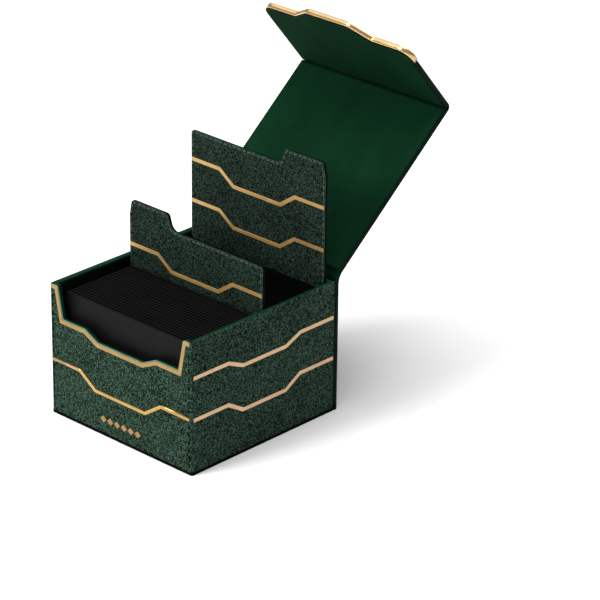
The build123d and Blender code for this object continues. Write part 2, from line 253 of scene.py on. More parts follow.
def plate(built, outline, profile, place, slots=(0, 1, 1), flush=None, woven_rings=4, wear_and_highlight=0.0):
    """A sheet with rounded edges. flush gives the inward direction at corners where it meets another
    piece; slots are those of its outer face, its edge and its inner face; woven_rings is how many
    rings of the edge belong to the outer face."""
    pairs = zip(outline, outline[1:] + outline[:1])
    clockwise = sum(a[0] * b[1] - b[0] * a[1] for a, b in pairs) < 0
    normals = [-n if clockwise else n for n in left_normals(outline, True)]
    for index, direction in (flush or {}).items():
        normals[index] = Vector(direction)
    rings = []
    for level, (inset, depth) in enumerate(profile):
        flat = [(x + n.x * inset, z + n.y * inset) for (x, z), n in zip(outline, normals)]
        # Painted highlight, with wear, on the outer rings of the edge rounding.
        wear_and_shine = wear_and_highlight if 0 < level <= woven_rings else 0.0
        rings.append((depth, flat, [built.vert(place(x, z, depth), wear_and_shine) for x, z in flat]))
    count = len(outline)
    for level, (low, high) in enumerate(zip(rings, rings[1:])):
        (depth_a, flat_a, ring_a), (depth_b, flat_b, ring_b) = low, high
        slot = slots[0] if level < woven_rings else slots[1]
        for i in range(count):
            j = (i + 1) % count
            corners = (flat_a[i], depth_a), (flat_a[j], depth_a), (flat_b[j], depth_b), (flat_b[i], depth_b)
            coordinates = [(x + depth * 0.7, z - depth * 0.7) for (x, z), depth in corners]
            built.face((ring_a[i], ring_a[j], ring_b[j], ring_b[i]), coordinates, slot)
    built.face(rings[0][2], rings[0][1], slots[0], smooth=False)
    built.face(rings[-1][2][::-1], rings[-1][1][::-1], slots[2], smooth=False)


def band(built, stations, radius, slots=(0, 1, 1), wear_and_highlight=None):
    """A panel across the cover's width, through stations of (outer point, inward direction,
    thickness, distance run); slots are those of its outer face, its side edges and its inner face."""
    steps = 4
    rings = []
    for outer, inward, thickness, run in stations:
        profile = edge_profile(thickness, radius, radius, steps)
        side = [(COVER_HALF - inset, depth) for inset, depth in profile]
        loop = side + [(-x, depth) for x, depth in side[::-1]]
        # Painted highlight, with wear, on the outer corners of the side edges.
        wear_and_shine = wear_and_highlight(run) if wear_and_highlight else 0.0
        verts = []
        for index, (x, depth) in enumerate(loop):
            outside = index <= 1 or index >= len(loop) - 2
            place = (x, outer[0] + inward[0] * depth, outer[1] + inward[1] * depth)
            verts.append(built.vert(place, wear_and_shine if outside else 0.0))
        rings.append((verts, loop, run))
    count = len(rings[0][0])
    for (verts_a, loop_a, run_a), (verts_b, loop_b, run_b) in zip(rings, rings[1:]):
        for i in range(count):
            j = (i + 1) % count
            slot = slots[1]
            if i < steps or i >= count - 1 - steps:
                slot = slots[0]
            elif i == count // 2 - 1:
                slot = slots[2]
            ends = ((loop_a[i], run_a), (loop_a[j], run_a), (loop_b[j], run_b), (loop_b[i], run_b))
            coordinates = [(x + math.copysign(depth, x), run) for (x, depth), run in ends]
            built.face((verts_a[i], verts_a[j], verts_b[j], verts_b[i]), coordinates, slot)
    for verts, loop, _ in (rings[0], rings[-1]):
        built.face(verts, loop, slots[1], smooth=False)


def domed(built, low, high, proud, place, below, steps, power=0.7):
    """A strip on a face between two lines, domed across its width; below is how far it is let in, and
    a lower power makes its top flatter."""
    run = 0.0
    rings = []
    for index, (a, b) in enumerate(zip(low, high)):
        if index:
            run += math.dist(a, low[index - 1])
        width = math.dist(a, b)
        section = []
        for step in range(steps + 1):
            angle = math.pi * step / steps
            across = (1 - math.cos(angle)) / 2
            x, z = (a[k] + (b[k] - a[k]) * across for k in (0, 1))
            rise = proud * max(math.sin(angle), 0.0) ** power
            section.append((built.vert(place(x, z, -rise)), (run, across * width)))
        for (x, z), across in ((b, width), (a, 0.0)):
            section.append((built.vert(place(x, z, below)), (run, across)))
        rings.append(section)
    for a, b in zip(rings, rings[1:]):
        for i in range(len(a)):
            j = (i + 1) % len(a)
            corners = (a[i], a[j], b[j], b[i])
            built.face([vert for vert, _ in corners], [at for _, at in corners])
    for section in (rings[0], rings[-1]):
        built.face([vert for vert, _ in section], [at for _, at in section], smooth=False)


def stitches(built, line, place, length=2.4, pitch=3.6, radius=0.28):
    """Raised thread dashes along a line on a face, each thinner towards its ends."""
    margin = 2.0
    sides = 6
    rings = 4
    spans = [math.dist(a, b) for a, b in zip(line, line[1:])]
    total = sum(spans)
    count = int((total - 2 * margin) / pitch)
    first = (total - (count - 1) * pitch) / 2
    for number in range(count):
        along = first + number * pitch
        index = 0
        while along > spans[index]:
            along -= spans[index]
            index += 1
        a, b = Vector(line[index]), Vector(line[index + 1])
        way = (b - a).normalized()
        middle = a + way * along
        loops = []
        for step in range(rings + 1):
            reach = math.sin(math.pi * (step / rings - 0.5))
            girth = radius * max(math.cos(math.pi * (step / rings - 0.5)), STITCH_END)
            spot = middle + way * reach * length / 2
            loop = []
            for side in range(sides):
                angle = 2 * math.pi * side / sides
                across = girth * math.cos(angle)
                x, z = spot.x - way.y * across, spot.y + way.x * across
                loop.append(built.vert(place(x, z, -girth * math.sin(angle) * STITCH_FLATNESS)))
            loops.append(loop)
        for low, high in zip(loops, loops[1:]):
            for i in range(sides):
                j = (i + 1) % sides
                built.face((low[i], low[j], high[j], high[i]), ((0, 0), (0, 1), (1, 1), (1, 0)))
        built.face(loops[0], [(0, 0)] * sides)
        built.face(loops[-1], [(0, 0)] * sides)


# ---------------------------------------------------------------- materials
class Shader:
    """A Principled material and short calls for the nodes that drive it."""

    def __init__(self, name, **constants):
        self.material = bpy.data.materials.new(name)
        self.material.use_nodes = True
        self.tree = self.material.node_tree
        self.surface = self.tree.nodes["Principled BSDF"]
        for key, value in constants.items():
            self.surface.inputs[key.replace("_", " ")].default_value = value

    def node(self, kind, inputs=(), **settings):
        made = self.tree.nodes.new(kind)
        for key, value in settings.items():
            setattr(made, key, value)
        for key, value in dict(inputs).items():
            if isinstance(value, bpy.types.NodeSocket):
                self.tree.links.new(value, made.inputs[key])
            else:
                made.inputs[key].default_value = value
        return made

    def math(self, operation, *values):
        return self.node("ShaderNodeMath", enumerate(values), operation=operation).outputs[0]

    def blend(self, factor, low, high):
        made = self.node("ShaderNodeMix", {0: factor, 2: low, 3: high}, data_type="FLOAT")
        return made.outputs[0]

    def noise(self, vector, scale, detail, roughness=0.5):
        inputs = {"Vector": vector, "Scale": scale, "Detail": detail, "Roughness": roughness}
        return self.node("ShaderNodeTexNoise", inputs).outputs["Fac"]

    def ramp(self, factor, stops):
        made = self.node("ShaderNodeValToRGB", {"Fac": factor})
        elements = made.color_ramp.elements
        while len(elements) < len(stops):
            elements.new(0.5)
        for element, (place, colour) in zip(elements, stops):
            element.position = place
            element.color = (*colour, 1.0)
        return made.outputs["Color"]

    def weave(self):
        """The weave coordinates, in millimetres along the warp and the weft."""
        found = self.node("ShaderNodeUVMap", uv_map="weave").outputs[0]
        parts = self.node("ShaderNodeSeparateXYZ", {0: found})
        return [self.math("MULTIPLY", parts.outputs[axis], 100.0) for axis in (0, 1)]

    def solid(self):
        return self.node("ShaderNodeTexCoord").outputs["Object"]

    def join(self, x, y, z=0.0):
        return self.node("ShaderNodeCombineXYZ", {0: x, 1: y, 2: z}).outputs[0]

    def wear_and_highlight_mask(self):
        return self.node("ShaderNodeAttribute", attribute_name="wear_and_highlight").outputs["Fac"]

    def set(self, **sockets):
        for key, socket in sockets.items():
            self.tree.links.new(socket, self.surface.inputs[key.replace("_", " ")])

    def bump(self, height, distance, strength=1.0):
        inputs = {"Height": height, "Distance": distance, "Strength": strength}
        self.set(Normal=self.node("ShaderNodeBump", inputs).outputs["Normal"])


# The pale green the cloth turns along its edges, partly real wear and partly a painted highlight where
# light catches the rounded edges. Colours are linear.
WEAR_AND_HIGHLIGHT_GREEN = (0.085, 0.125, 0.098)


def tint(colour, scale):
    return tuple(min(1.0, channel * scale) for channel in colour)


def woven_cloth(name, colour, pitch, contrast, sheen):
    """A plain weave of heathered yarns, lighter along its edges with wear and a painted highlight."""
    cloth = Shader(name, Roughness=0.85, Sheen_Weight=sheen, Sheen_Roughness=0.45)
    cloth.surface.inputs["Specular IOR Level"].default_value = 0.06
    u, v = (cloth.math("DIVIDE", axis, pitch) for axis in cloth.weave())
    waver = cloth.noise(cloth.join(u, v), 0.12, 1.0)
    u = cloth.math("ADD", u, cloth.math("MULTIPLY", waver, 0.6))
    v = cloth.math("ADD", v, cloth.math("MULTIPLY", waver, -0.6))
    i, j = cloth.math("FLOOR", u), cloth.math("FLOOR", v)
    domes = []
    for axis in (u, v):
        domes.append(cloth.math("SINE", cloth.math("MULTIPLY", cloth.math("FRACT", axis), math.pi)))
    over = cloth.math("FLOORED_MODULO", cloth.math("ADD", i, j), 2.0)
    yarns = []
    for across, along, seed in ((i, v, 3.0), (j, u, 71.0)):
        stretch = cloth.math("FLOOR", cloth.math("MULTIPLY", along, 0.75))
        dye = cloth.node("ShaderNodeTexWhiteNoise", {"Vector": cloth.join(across, stretch, seed)})
        dyed = cloth.math("MULTIPLY", dye.outputs["Value"], 0.9)
        fleck = cloth.noise(cloth.join(across, cloth.math("MULTIPLY", along, 0.6), seed), 1.0, 2.0, 0.7)
        yarns.append(cloth.math("ADD", dyed, cloth.math("MULTIPLY", fleck, 0.3)))
    tone = cloth.blend(over, yarns[0], yarns[1])
    dome = cloth.blend(over, domes[0], domes[1])
    crossing = cloth.blend(over, domes[1], domes[0])
    height = cloth.math("MULTIPLY", dome, cloth.math("ADD", cloth.math("MULTIPLY", crossing, 0.5), 0.5))
    patches = cloth.noise(cloth.join(u, v), 0.02, 3.0)
    tone = cloth.math("ADD", tone, cloth.math("MULTIPLY", cloth.math("SUBTRACT", patches, 0.5), 0.25))
    # Thread crowns lighter and hollows between threads darker: painted shade in the weave, on top of the
    # bump.
    tone = cloth.math("ADD", tone, cloth.math("MULTIPLY", cloth.math("SUBTRACT", height, 0.5), 0.25))
    grey = sum(colour) / 3
    pale = tuple((channel * 0.6 + grey * 0.4) * (1 + 14.0 * contrast) for channel in colour)
    stops = [(0.3, tint(colour, 1.1 - contrast)), (0.6, colour), (0.96, pale)]
    # Mix towards the pale edge green: real wear and a painted highlight on the rounded edges.
    wear_and_highlight_mix = cloth.math("MULTIPLY", cloth.wear_and_highlight_mask(), cloth.math("ADD", tone, 0.1))
    inputs = {0: wear_and_highlight_mix, 6: cloth.ramp(tone, stops), 7: (*WEAR_AND_HIGHLIGHT_GREEN, 1.0)}
    shade = cloth.node("ShaderNodeMix", inputs, data_type="RGBA")
    cloth.set(Base_Color=shade.outputs[2])
    cloth.bump(height, pitch * 0.35 * MM)
    return cloth.material


def suede(name, colour, sheen):
    """A short brushed nap, shaded in soft patches."""
    nap = Shader(name, Roughness=0.95, Sheen_Weight=sheen, Sheen_Roughness=0.6)
    nap.surface.inputs["Specular IOR Level"].default_value = 0.03
    u, v = nap.weave()

    def stretched(across, along, detail, roughness):
        place = nap.join(nap.math("MULTIPLY", u, across), nap.math("MULTIPLY", v, along))
        return nap.noise(place, 1.0, detail, roughness)

    fibre = stretched(3.0, 1.6, 3.0, 0.65)
    strokes = stretched(0.05, 0.03, 4.0, 0.55)
    tone = nap.math("ADD", nap.math("MULTIPLY", fibre, 0.55), nap.math("MULTIPLY", strokes, 0.45))
    stops = [(0.3, tint(colour, 0.62)), (0.5, colour), (0.72, tint(colour, 1.5))]
    nap.set(Base_Color=nap.ramp(tone, stops))
    nap.bump(fibre, 0.08 * MM, 0.6)
    return nap.material


def metal(name, colour, roughness, scratch, metallic=1.0):
    """Brushed or satin metal, a little darker and duller in patches."""
    leaf = Shader(name, Metallic=metallic)
    place = leaf.solid()
    cloudy = leaf.noise(place, 180.0, 3.0)
    fine = leaf.noise(place, 2600.0, 2.0, 0.6)
    tone = leaf.math("ADD", leaf.math("MULTIPLY", cloudy, 0.7), leaf.math("MULTIPLY", fine, 0.3))
    leaf.set(Base_Color=leaf.ramp(tone, [(0.3, tint(colour, 0.82)), (0.7, tint(colour, 1.08))]))
    leaf.set(Roughness=leaf.math("ADD", leaf.math("MULTIPLY", cloudy, scratch), roughness - scratch / 2))
    leaf.bump(fine, 0.02 * MM, 0.5)
    return leaf.material


def coated(name, colour, roughness, grain, depth, gloss=0.1):
    """Painted, papered or plastic surfaces with a fine grain."""
    coat = Shader(name, Roughness=roughness)
    coat.surface.inputs["Specular IOR Level"].default_value = gloss
    place = coat.solid()
    fine = coat.noise(place, grain, 3.0, 0.6)
    broad = coat.noise(place, grain * 0.06, 2.0)
    tone = coat.math("ADD", coat.math("MULTIPLY", fine, 0.5), coat.math("MULTIPLY", broad, 0.5))
    coat.set(Base_Color=coat.ramp(tone, [(0.3, tint(colour, 0.7)), (0.7, tint(colour, 1.35))]))
    coat.set(Roughness=coat.math("ADD", coat.math("MULTIPLY", fine, 0.16), roughness - 0.08))
    coat.bump(fine, depth * MM, 0.6)
    return coat.material


WOVEN = woven_cloth("woven_cloth", (0.0029, 0.0101, 0.0055), 0.5, 0.94, 0.0)
SLEEVE = woven_cloth("divider_cloth", (0.0017, 0.0056, 0.0032), 0.48, 0.94, 0.0)
EDGE = coated("turned_edge", (0.0016, 0.0085, 0.0045), 0.65, 1500.0, 0.03, 0.03)
# The turned edge cloth painted brighter for the tray's rim, as the light the rim gets from above.
LIT_RIM_EDGE = coated("lit_rim_edge", (0.0026, 0.0235, 0.0112), 0.6, 1500.0, 0.03, 0.04)
BLACK_EDGE = coated("black_edge", (0.0012, 0.0022, 0.0016), 0.7, 1500.0, 0.03, 0.03)
SUEDE = suede("suede_lining", (0.0022, 0.020, 0.0078), 0.0)
# The suede lining painted darker for the tray's walls and floor, as the shade inside the tray.
SHADED_SUEDE = suede("shaded_wall_lining", (0.0008, 0.0055, 0.0026), 0.0)
THREAD = coated("thread", (0.0006, 0.0014, 0.0009), 0.7, 3000.0, 0.05, 0.02)
# Stitch thread painted pale for the dividers, as the highlight their stitches catch.
HIGHLIT_THREAD = coated("highlit_thread", (0.05, 0.10, 0.072), 0.6, 3000.0, 0.05)
# A bead on the rim's edge, its pale green a painted highlight along that rounded edge.
PIPING_HIGHLIGHT = coated("piping_highlight", (0.09, 0.18, 0.125), 0.55, 3000.0, 0.05, 0.2)
FOIL = metal("gold_foil", (0.50, 0.305, 0.105), 0.42, 0.14, 0.55)
# The gold foil painted darker for the front trim and ornament, as painted shade for the dimmer light the
# front face reflects.
SHADED_FRONT_FOIL = metal("shaded_front_gold_foil", (0.33, 0.203, 0.064), 0.4, 0.14, 0.6)
BRASS = metal("gold_metal", (0.66, 0.425, 0.20), 0.19, 0.1, 0.92)
ROSE = metal("rose_foil", (0.60, 0.385, 0.225), 0.42, 0.14, 0.6)
STEEL = metal("magnet_steel", (0.62, 0.62, 0.63), 0.3, 0.2)
GREYBOARD = coated("greyboard", (0.26, 0.25, 0.23), 0.9, 900.0, 0.05)
BASE = coated("base_card", (0.012, 0.019, 0.015), 0.8, 800.0, 0.04, 0.05)
# Near black, for the foot: a dark band along the bottom edges of the walls and the underside.
NEAR_BLACK_FOOT = coated("near_black_foot", (0.001, 0.0018, 0.0014), 0.75, 800.0, 0.04, 0.02)
RAISED = metal("raised_gold", (0.46, 0.29, 0.098), 0.2, 0.1, 0.9)
CARD = coated("card_face", (0.0036, 0.0036, 0.0036), 0.42, 700.0, 0.01, 0.05)
# Near black for card faces that face a neighbour: painted shade in the gaps between cards.
SHADED_CARD_GAP = coated("shaded_card_gap", (0.0004, 0.0004, 0.0004), 0.9, 700.0, 0.01, 0.0)
CARD_EDGE = coated("card_edge", (0.0040, 0.0040, 0.0039), 0.6, 700.0, 0.01, 0.02)
# Card edges painted darker for the rear deck, as the shade deep in its compartment.
SHADED_CARD_EDGE = coated("shaded_card_edge", (0.0016, 0.0016, 0.0016), 0.7, 700.0, 0.01, 0.01)


# ---------------------------------------------------------------- where the cover lies
def creases():
    """The fold's three creases with the box shut, from the back panel to the lid, as (y, z)."""
    top = LID_TOP - FOLD_HALF
    leans = [math.radians(CREASE_SHUT * step) for step in (1, 2)]
    places = [(BACK_OUTER - FOLD_HALF, top - sum(math.cos(lean) for lean in leans) * FOLD_STRIP)]
    for lean in leans:
        y, z = places[-1]
        places.append((y - FOLD_STRIP * math.sin(lean), z + FOLD_STRIP * math.cos(lean)))
    return places


def opening(count):
    """What carries a piece beyond the first few creases from the shut box to the open one."""
    whole = Matrix.Identity(4)
    for y, z in creases()[:count]:
        place = Matrix.Translation((0, y * MM, z * MM))
        whole = whole @ place @ Matrix.Rotation(math.radians(-LID_OPEN / 3), 4, "X") @ place.inverted()
    return whole


def carried(place, count):
    point = opening(count) @ Vector((0, place[0] * MM, place[1] * MM))
    return Vector((point.y, point.z)) / MM


def keep(piece, body, slot, *nodes):
    """A piece rides on a body and stands for CAD nodes; slot is not used."""
    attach(piece, body)
    if nodes:
        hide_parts(*nodes)
    return piece


# ---------------------------------------------------------------- tray
def perimeter(depth):
    """The wall's line round the sides and back at a depth from its outer face, from front to front."""
    corners = [(-1, -1), (-1, 1), (1, 1), (1, -1)]
    points = []
    for index, (side_x, side_y) in enumerate(corners):
        radius = max(CORNER_RADIUS - depth, 0.0)
        inset = max(depth, CORNER_RADIUS)
        x, y = side_x * (HALF_WIDTH - inset), side_y * (BACK - inset)
        for step in range(CORNER_STEPS + 1):
            angle = math.radians(-90 - 90 * index - 90 / CORNER_STEPS * step)
            points.append((x + radius * math.cos(angle), y + radius * math.sin(angle)))
    return points


def cut_out(rim):
    """The right half of the finger cut-out's edge, from its floor up to the rim."""
    return [CUT_FLOOR, CUT_STEP, CUT_SHOULDER, (CUT_RIM_X, rim)]


def tray_wrap():
    """The tray's woven walls: the sides and back as one swept wall, and the front with its cut-out."""
    built = Builder()
    profile = edge_profile(WALL - LINING_PROUD, 0.45, 0.8)
    floor = 0.05
    section = [(depth, HEIGHT - inset) for inset, depth in profile]
    section += [(depth, floor + inset) for inset, depth in profile[::-1]]
    columns = []
    for depth, z in section:
        columns.append([built.vert((x, y, z)) for x, y in perimeter(depth)])
    outer = perimeter(0)
    runs = [0.0]
    for a, b in zip(outer, outer[1:]):
        runs.append(runs[-1] + math.dist(a, b))
    count = len(section)
    woven = 4
    for i in range(count):
        j = (i + 1) % count
        slot = 0 if i < woven or i > count - woven - 2 else 1
        for k in range(len(outer) - 1):
            verts = (columns[i][k], columns[j][k], columns[j][k + 1], columns[i][k + 1])
            at = [(runs[k], section[i][1]), (runs[k], section[j][1])]
            at += [(runs[k + 1], section[j][1]), (runs[k + 1], section[i][1])]
            if len(set(verts)) == 4:
                built.face(verts, at, slot)

    edge_x = HALF_WIDTH - CORNER_RADIUS
    points = [(-edge_x, floor), (edge_x, floor), (edge_x, HEIGHT)]
    points += mirrored(cut_out(HEIGHT))[::-1] + [(-edge_x, HEIGHT)]
    radii = [0, 0, 0] + [1.6] + [1.2] * 6 + [1.6] + [0]
    outline = rounded(points, radii, steps=5)
    last = len(outline) - 1
    flush = {0: (0, 1), 1: (0, 1), 2: (0, -1), last: (0, -1)}
    plate(built, outline, profile, lambda x, z, depth: (x, FRONT + depth, z), flush=flush, wear_and_highlight=0.5)
    wrap = built.object("tray_wrap", [WOVEN, LIT_RIM_EDGE])
    keep(wrap, "tray", "woven_cloth", "body_wrap")


def tray_linings():
    """Suede panels inside the walls and on the floor, each with softened edges."""
    low, top = WALL - SKIN / 2, HEIGHT - LINING_TO_RIM
    half_x, half_y = HALF_WIDTH - WALL, BACK - WALL
    sheet = edge_profile(SKIN, 0.3, 0.1, 3)

    rim = shifted(mirrored(cut_out(HEIGHT)), -LINING_TO_RIM)
    rim_x = rim[-2][0] + (rim[-1][0] - rim[-2][0]) * (top - rim[-2][1]) / (rim[-1][1] - rim[-2][1])
    rim = [(-rim_x, top)] + rim[1:-1] + [(rim_x, top)]
    front = [(-half_x, low), (half_x, low), (half_x, top)] + rim[::-1] + [(-half_x, top)]

    def upright(half):
        return [(-half, low), (half, low), (half, top), (-half, top)]

    floor = [(-half_x, -half_y), (half_x, -half_y), (half_x, half_y), (-half_x, half_y)]
    panels = {
        "front": (front, lambda x, z, d: (x, -half_y - d, z)),
        "back": (upright(half_x), lambda x, z, d: (x, half_y + d, z)),
        "left": (upright(half_y), lambda y, z, d: (-half_x - d, y, z)),
        "right": (upright(half_y), lambda y, z, d: (half_x + d, y, z)),
        "floor": (floor, lambda x, y, d: (x, y, WALL - d)),
    }
    for name, (outline, place) in panels.items():
        built = Builder()
        radii = [0.0] * len(outline)
        if name == "front":
            radii = [0, 0, 0] + [1.2] * 8 + [0]
        path = rounded(outline, radii, steps=4)
        plate(built, path, sheet, place, woven_rings=3)
        panel = built.object(f"tray_{name}_suede", [SHADED_SUEDE, SHADED_SUEDE])
        keep(panel, "tray", "suede_lining", f"{name}_lining")


def tray_details():
    """Stitches down the front's edges, piping along its rim and cut-out painted pale as a highlight, the
    foot and the raised strip.
    """
    built = Builder()

    def face(x, z, depth):
        return (x, FRONT + depth, z)

    for side in (-1, 1):
        x = side * (HALF_WIDTH - TRAY_SEAM)
        stitches(built, [(x, 1.0), (x, HEIGHT - 3.5)], face, length=3.0, pitch=4.3, radius=0.52)
    thread = built.object("tray_stitches", [THREAD])
    keep(thread, "tray", "woven_cloth")

    built = Builder()
    rim = HEIGHT - PIPING_DROP
    line = mirrored(cut_out(rim) + [(HALF_WIDTH - CORNER_RADIUS, rim)])
    line = rounded(line, [0, 1.4] + [1.1] * 6 + [1.4, 0], closed=False, steps=5)
    sides = shifted(line, -PIPING_HALF), shifted(line, PIPING_HALF)

    def rounded_edge(x, z, depth):
        return (x, FRONT + 0.22 + depth, z)

    domed(built, *sides, PIPING_PROUD, rounded_edge, below=0.3, steps=6)
    piping_highlight = built.object("cut_out_piping_highlight", [PIPING_HIGHLIGHT])
    keep(piping_highlight, "tray", "woven_cloth")

    built = Builder()
    x, y = HALF_WIDTH + FOOT_PROUD, BACK + FOOT_PROUD
    corners = rounded([(-x, -y), (x, -y), (x, y), (-x, y)], [CORNER_RADIUS] * 4)
    profile = edge_profile(FOOT_HEIGHT, 0.15, 0.15, 2)
    plate(built, corners, profile, lambda x, y, d: (x, y, 0.02 + d), slots=(0, 0, 0))
    keep(built.object("tray_foot", [NEAR_BLACK_FOOT]), "tray", "greyboard")

    built = Builder()
    line = rounded(stepped(HALF_WIDTH - TRIM_TO_EDGE, FRONT_LOWER), [0] + [1.5] * 4 + [0], closed=False)
    sides = shifted(line, -TRIM_WIDTH / 2), shifted(line, TRIM_WIDTH / 2)
    domed(built, *sides, TRIM_DOME, face, below=0.2, power=0.45, steps=14)
    keep(built.object("front_raised_trim", [RAISED]), "tray", "gold_metal", "front_lower_trim")


# ---------------------------------------------------------------- cover
def back_panel():
    """The cover's back panel, glued to the tray and tapered where it starts above the floor."""
    top = creases()[0][1] - FOLD_ENDS
    levels = [0.4, 1.2, 20.0, 40.0, 60.0, top - 1.0, top]
    thickness = BACK_OUTER - BACK
    taper = 0.35
    stations = [((BACK_OUTER - taper, 0.05), (-1, 0), thickness - taper, 0.0)]
    stations += [((BACK_OUTER, z), (-1, 0), thickness, z) for z in levels]
    built = Builder()
    band(built, stations, 0.55)
    keep(built.object("back_cover", [WOVEN, EDGE]), "tray", "woven_cloth", "cover_back_cloth")


def bent(before, crease, after, last_thickness):
    """Stations round a crease, on a smooth curve that leaves and joins the flats on either side,
    where the sheet may thicken over the second half."""
    steps = 8
    stations = []
    run = 0.0
    last = before
    for step in range(steps + 1):
        t = step / steps
        point = before * (1 - t) ** 2 + crease * 2 * t * (1 - t) + after * t**2
        way = ((crease - before) * (1 - t) + (after - crease) * t).normalized()
        run += (point - last).length
        last = point
        outward = Vector((way.y, -way.x))
        swell = max(2 * t - 1, 0) ** 2 * (last_thickness - 2 * FOLD_HALF)
        stations.append((tuple(point + outward * FOLD_HALF), tuple(-outward), 2 * FOLD_HALF + swell, run))
    return stations


def fold():
    """The soft fold at the back: three pieces of cloth, each bending over one crease."""
    lower, middle, upper = (carried(place, count) for count, place in enumerate(creases()))
    lid_way = Vector((math.sin(math.radians(LID_OPEN - 90)), math.cos(math.radians(LID_OPEN - 90))))
    first = lower - Vector((0, FOLD_ENDS))
    joints = [
        ("fold_at_back", "tray", "fold_lower", first, lower, (lower + middle) / 2),
        ("fold_between", "fold_lower", "fold_upper", (lower + middle) / 2, middle, (middle + upper) / 2),
        ("fold_at_lid", "fold_upper", "lid", (middle + upper) / 2, upper, upper + lid_way * FOLD_ENDS),
    ]
    for name, low_body, high_body, before, crease, after in joints:
        built = Builder()
        swollen = LID_REAR_THICKNESS if name == "fold_at_lid" else 2 * FOLD_HALF
        stations = bent(before, crease, after, swollen)
        band(built, stations, 0.5, (0, 1, 2), wear_and_highlight=lambda run: 0.4)
        piece = built.object(name, [WOVEN, EDGE, SUEDE])
        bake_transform(piece)
        if name != "fold_between":
            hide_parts("lower_fold_strip" if low_body == "tray" else "upper_fold_strip")


def lid():
    """The lid panel: woven outside, with smooth side edges, and a suede panel inside."""
    rear = creases()[2][0] - FOLD_ENDS
    front = FLAP_OUTER + FLAP_BEND
    matrix = opening(3)
    thin = 2 * FOLD_HALF
    places = [(rear, LID_REAR_THICKNESS), (rear - 0.8, WALL)]
    places += [(rear - 4 - (rear - front - 8) * step / 8, WALL) for step in range(9)]
    places += [(front + 0.8, WALL), (front + 0.3, 2.85), (front, 2.5), (front, thin)]
    places = [(y, thickness - LINING_PROUD if thickness == WALL else thickness) for y, thickness in places]
    stations = [((y, LID_TOP), (0, -1), thickness, -y) for y, thickness in places]

    # Painted highlight, with some wear, in bands along the lid's front and rear creases.
    def wear_and_shine(run):
        return math.exp(-((run + front) / 2.5) ** 2) + math.exp(-((run + rear) / 3.0) ** 2)

    built = Builder()
    band(built, stations, 0.6, wear_and_highlight=wear_and_shine)
    keep(built.object("lid_panel", [WOVEN, EDGE], matrix), "lid", "woven_cloth", "lid_cloth")

    half = COVER_HALF - LINING_INSET
    low_y, high_y = front + 1.3, rear - 0.1
    outline = rounded([(-half, low_y), (half, low_y), (half, high_y), (-half, high_y)], [0.8] * 4)
    built = Builder()
    under = LID_TOP - WALL
    profile = edge_profile(SKIN, 0.25, 0.1, 3)
    plate(built, outline, profile, lambda x, y, d: (x, y, under + d), woven_rings=3)
    keep(built.object("lid_suede", [SUEDE, SUEDE], matrix), "lid", "suede_lining", "lid_lining")

    built = Builder()
    for side in (-1, 1):
        x = side * (COVER_HALF - COVER_SEAM)
        stitches(built, [(x, front), (x, rear)], lambda x, y, d: (x, y, LID_TOP - d))
    keep(built.object("lid_stitches", [THREAD], matrix), "lid", "woven_cloth")


def flap_line(top, margin=0.0, end_radius=0.0):
    """The flap's outline drawn in by a margin, from its top left corner round its lower edge."""
    half = COVER_HALF - margin
    low = shifted(stepped(half, FLAP_EDGE), margin)
    corner = FLAP_CORNER - margin
    radii = [end_radius, corner] + FLAP_RADII + [corner, end_radius]
    return rounded([(-half, top)] + low + [(half, top)], radii)


def flap():
    """The flap: woven outside, suede inside, with a rounded gold bar along its lower edge."""
    matrix = opening(3)
    top = LID_TOP - FLAP_BEND

    def outside(x, z, depth):
        return (x, FLAP_OUTER + depth, z)

    outline = flap_line(top)
    built = Builder()
    flush = {0: (1, 0), len(outline) - 1: (-1, 0)}
    profile = edge_profile(WALL - LINING_PROUD, 0.6, 0.6)
    plate(built, outline, profile, outside, flush=flush, wear_and_highlight=0.35)
    keep(built.object("flap_panel", [WOVEN, EDGE], matrix), "flap", "woven_cloth", "flap_cloth")

    outline = flap_line(top - LINING_TO_RIM, LINING_INSET, 0.8)
    built = Builder()
    inner = FLAP_OUTER + WALL
    profile = edge_profile(SKIN, 0.35, 0.1, 3)
    plate(built, outline, profile, lambda x, z, d: (x, inner - d, z), woven_rings=3)
    keep(built.object("flap_suede", [SUEDE, SUEDE], matrix), "flap", "suede_lining", "flap_lining")

    half = COVER_HALF + BAR_WRAP
    lower = [(-half, BAR_END_Z)] + shifted(stepped(half, FLAP_EDGE), -BAR_WRAP) + [(half, BAR_END_Z)]
    radii = [0, FLAP_CORNER] + FLAP_RADII + [FLAP_CORNER, 0]
    lower = rounded(lower, radii, closed=False, steps=10)
    ends = FLAP_EDGE["ends"]
    upper = []
    for (x, z), normal in zip(lower, left_normals(lower, False)):
        climb = min(max((z - ends) / (BAR_END_Z - ends), 0.0), 1.0)
        width = BAR_HEIGHT + (BAR_TIP - BAR_HEIGHT) * climb
        upper.append((x + normal.x * width, z + normal.y * width))
    built = Builder()
    below = BAR_DEPTH - BAR_PROUD
    domed(built, lower, upper, BAR_PROUD, outside, below=below, power=0.42, steps=16)
    keep(built.object("flap_bar", [BRASS], matrix), "flap", "gold_metal", "flap_edge_bar")

    built = Builder()
    for side in (-1, 1):
        x = side * (COVER_HALF - COVER_SEAM)
        stitches(built, [(x, BAR_END_Z + 1.9), (x, top)], outside)
    keep(built.object("flap_stitches", [THREAD], matrix), "flap", "woven_cloth")


def flap_bend():
    """Cloth round the corner between the lid and the flap."""
    matrix = opening(3)
    centre = Vector((FLAP_OUTER + FLAP_BEND, LID_TOP - FLAP_BEND))
    stations = []
    steps = 12
    for step in range(steps + 1):
        angle = math.pi / 2 * step / steps
        outward = Vector((-math.sin(angle), math.cos(angle)))
        run = FLAP_BEND * angle
        stations.append((tuple(centre + outward * FLAP_BEND), tuple(-outward), 2 * FOLD_HALF, run))
    built = Builder()
    band(built, stations, 0.5, (0, 1, 2), wear_and_highlight=lambda run: 0.55)
    piece = built.object("flap_fold", [WOVEN, EDGE, SUEDE], matrix)
    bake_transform(piece)


